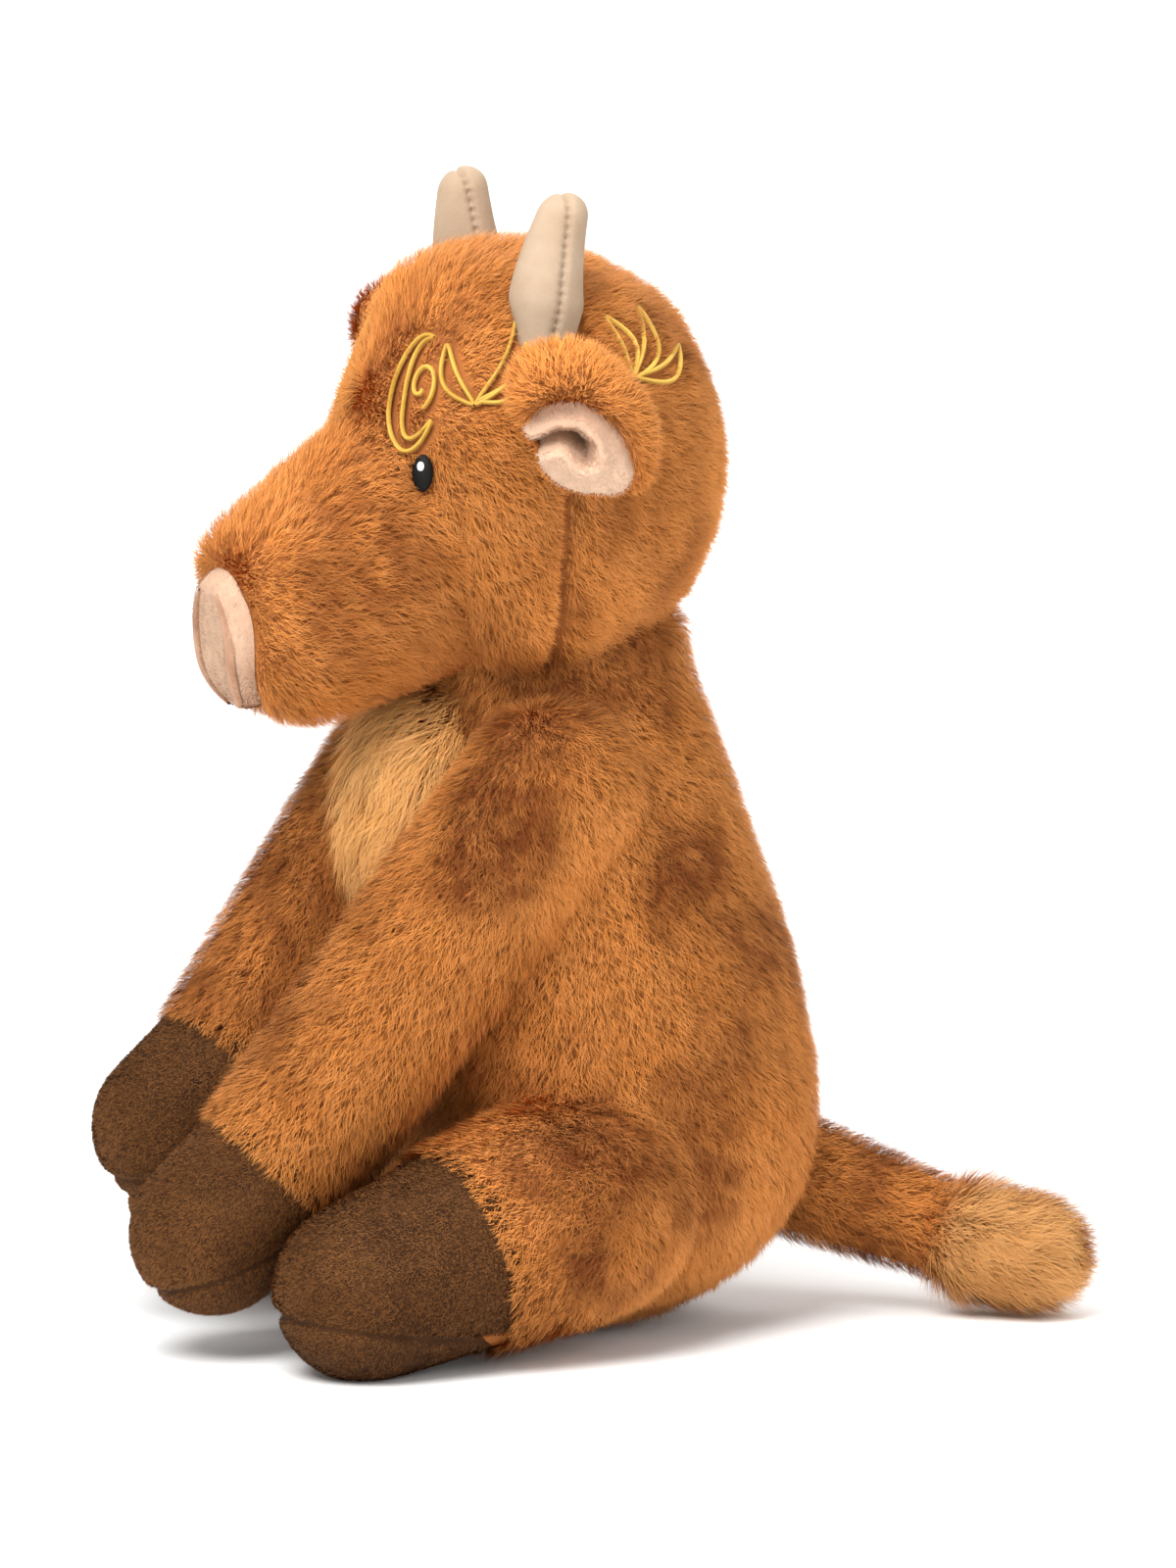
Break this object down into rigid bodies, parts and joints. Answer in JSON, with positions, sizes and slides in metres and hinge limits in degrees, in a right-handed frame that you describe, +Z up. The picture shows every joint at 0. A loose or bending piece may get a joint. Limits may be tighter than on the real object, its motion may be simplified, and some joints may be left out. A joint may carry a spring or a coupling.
{
  "type": "seated plush calf",
  "caption": "Seated stuffed calf in pile fabric: pear-shaped body, big-muzzled head with stub horns, cupped ears, soft hooves and a tufted tail.",
  "frame": {"origin": "middle of the flat seat, on the surface the toy sits on", "axes": "+Z up, the toy faces -Y, its own left side is +X"},
  "size_m": [0.1828, 0.249, 0.293],
  "materials": {
    "plush": "matte",
    "long_pile": "matte",
    "hoof_velour": "matte",
    "horn_velour": "matte",
    "pink_velour": "matte",
    "nose_velour": "matte",
    "nose_thread": "matte",
    "black_thread": "satin",
    "white_thread": "satin",
    "gold_thread": "satin",
    "stuffing": "matte",
    "pellet_bag_cloth": "matte"
  },
  "bodies": {
    "torso": {"seat_panel": "plush", "belly_panel": "plush", "back_panel_left": "plush", "back_panel_right": "plush", "torso_stuffing": "stuffing", "pellet_bag": "pellet_bag_cloth", "chest_ruff": "long_pile"},
    "neck": {"neck_stuffing": "stuffing"},
    "head": {"head_back_left": "plush", "head_back_right": "plush", "cheek_left": "plush", "cheek_right": "plush", "forehead_panel": "plush", "muzzle_top": "plush", "muzzle_chin": "plush", "nose_pad": "nose_velour", "nostril_stitching": "nose_thread", "head_stuffing": "stuffing", "forehead_scrolls": "gold_thread", "eye_left": "black_thread", "eye_right": "black_thread", "eye_glint_left": "white_thread", "eye_glint_right": "white_thread", "horn_left_front_panel": "horn_velour", "horn_left_back_panel": "horn_velour", "horn_left_stuffing": "stuffing", "horn_right_front_panel": "horn_velour", "horn_right_back_panel": "horn_velour", "horn_right_stuffing": "stuffing"},
    "ear_left": {"ear_back_left": "plush", "ear_lining_left": "pink_velour"},
    "ear_right": {"ear_back_right": "plush", "ear_lining_right": "pink_velour"},
    "front_leg_left": {"front_leg_left_cover": "plush", "front_leg_left_stuffing": "stuffing", "front_leg_left_hoof_top": "hoof_velour", "front_leg_left_hoof_sole": "hoof_velour"},
    "front_leg_right": {"front_leg_right_cover": "plush", "front_leg_right_stuffing": "stuffing", "front_leg_right_hoof_top": "hoof_velour", "front_leg_right_hoof_sole": "hoof_velour"},
    "hind_leg_left": {"hind_leg_left_cover": "plush", "hind_leg_left_stuffing": "stuffing", "hind_leg_left_hoof_top": "hoof_velour", "hind_leg_left_hoof_sole": "hoof_velour"},
    "hind_leg_right": {"hind_leg_right_cover": "plush", "hind_leg_right_stuffing": "stuffing", "hind_leg_right_hoof_top": "hoof_velour", "hind_leg_right_hoof_sole": "hoof_velour"},
    "tail": {"tail_cover": "plush", "tail_stuffing": "stuffing", "tail_tuft": "long_pile"}
  },
  "joints": [
    {"name": "head_turn", "type": "hinge", "parent": "torso", "child": "neck", "pos_m": [0, -0.012, 0.176], "axis": [0, 0, 1], "range_deg": [-20, 20]},
    {"name": "head_nod", "type": "hinge", "parent": "neck", "child": "head", "pos_m": [0, -0.012, 0.176], "axis": [1, 0, 0], "range_deg": [-10, 5]},
    {"name": "front_leg_left_swing", "type": "hinge", "parent": "torso", "child": "front_leg_left", "pos_m": [0.04, -0.026, 0.143], "axis": [1, 0, 0], "range_deg": [-15, 0]},
    {"name": "front_leg_right_swing", "type": "hinge", "parent": "torso", "child": "front_leg_right", "pos_m": [-0.04, -0.026, 0.146], "axis": [1, 0, 0], "range_deg": [-15, 0]},
    {"name": "hind_leg_left_lift", "type": "hinge", "parent": "torso", "child": "hind_leg_left", "pos_m": [0.049, -0.022, 0.0385], "axis": [0.8, 0, -0.6], "range_deg": [-8, 0]},
    {"name": "hind_leg_right_lift", "type": "hinge", "parent": "torso", "child": "hind_leg_right", "pos_m": [-0.049, -0.022, 0.0385], "axis": [0.8, 0, 0.6], "range_deg": [-8, 0]},
    {"name": "ear_left_flop", "type": "hinge", "parent": "head", "child": "ear_left", "pos_m": [0.0455, -0.029, 0.247], "axis": [0, 1, 0], "range_deg": [-35, 6]},
    {"name": "ear_right_flop", "type": "hinge", "parent": "head", "child": "ear_right", "pos_m": [-0.0455, -0.029, 0.247], "axis": [0, 1, 0], "range_deg": [-6, 35]},
    {"name": "tail_swing", "type": "hinge", "parent": "torso", "child": "tail", "pos_m": [0.004, 0.055, 0.033], "axis": [0, 0, 1], "range_deg": [-8, 70]}
  ]
}
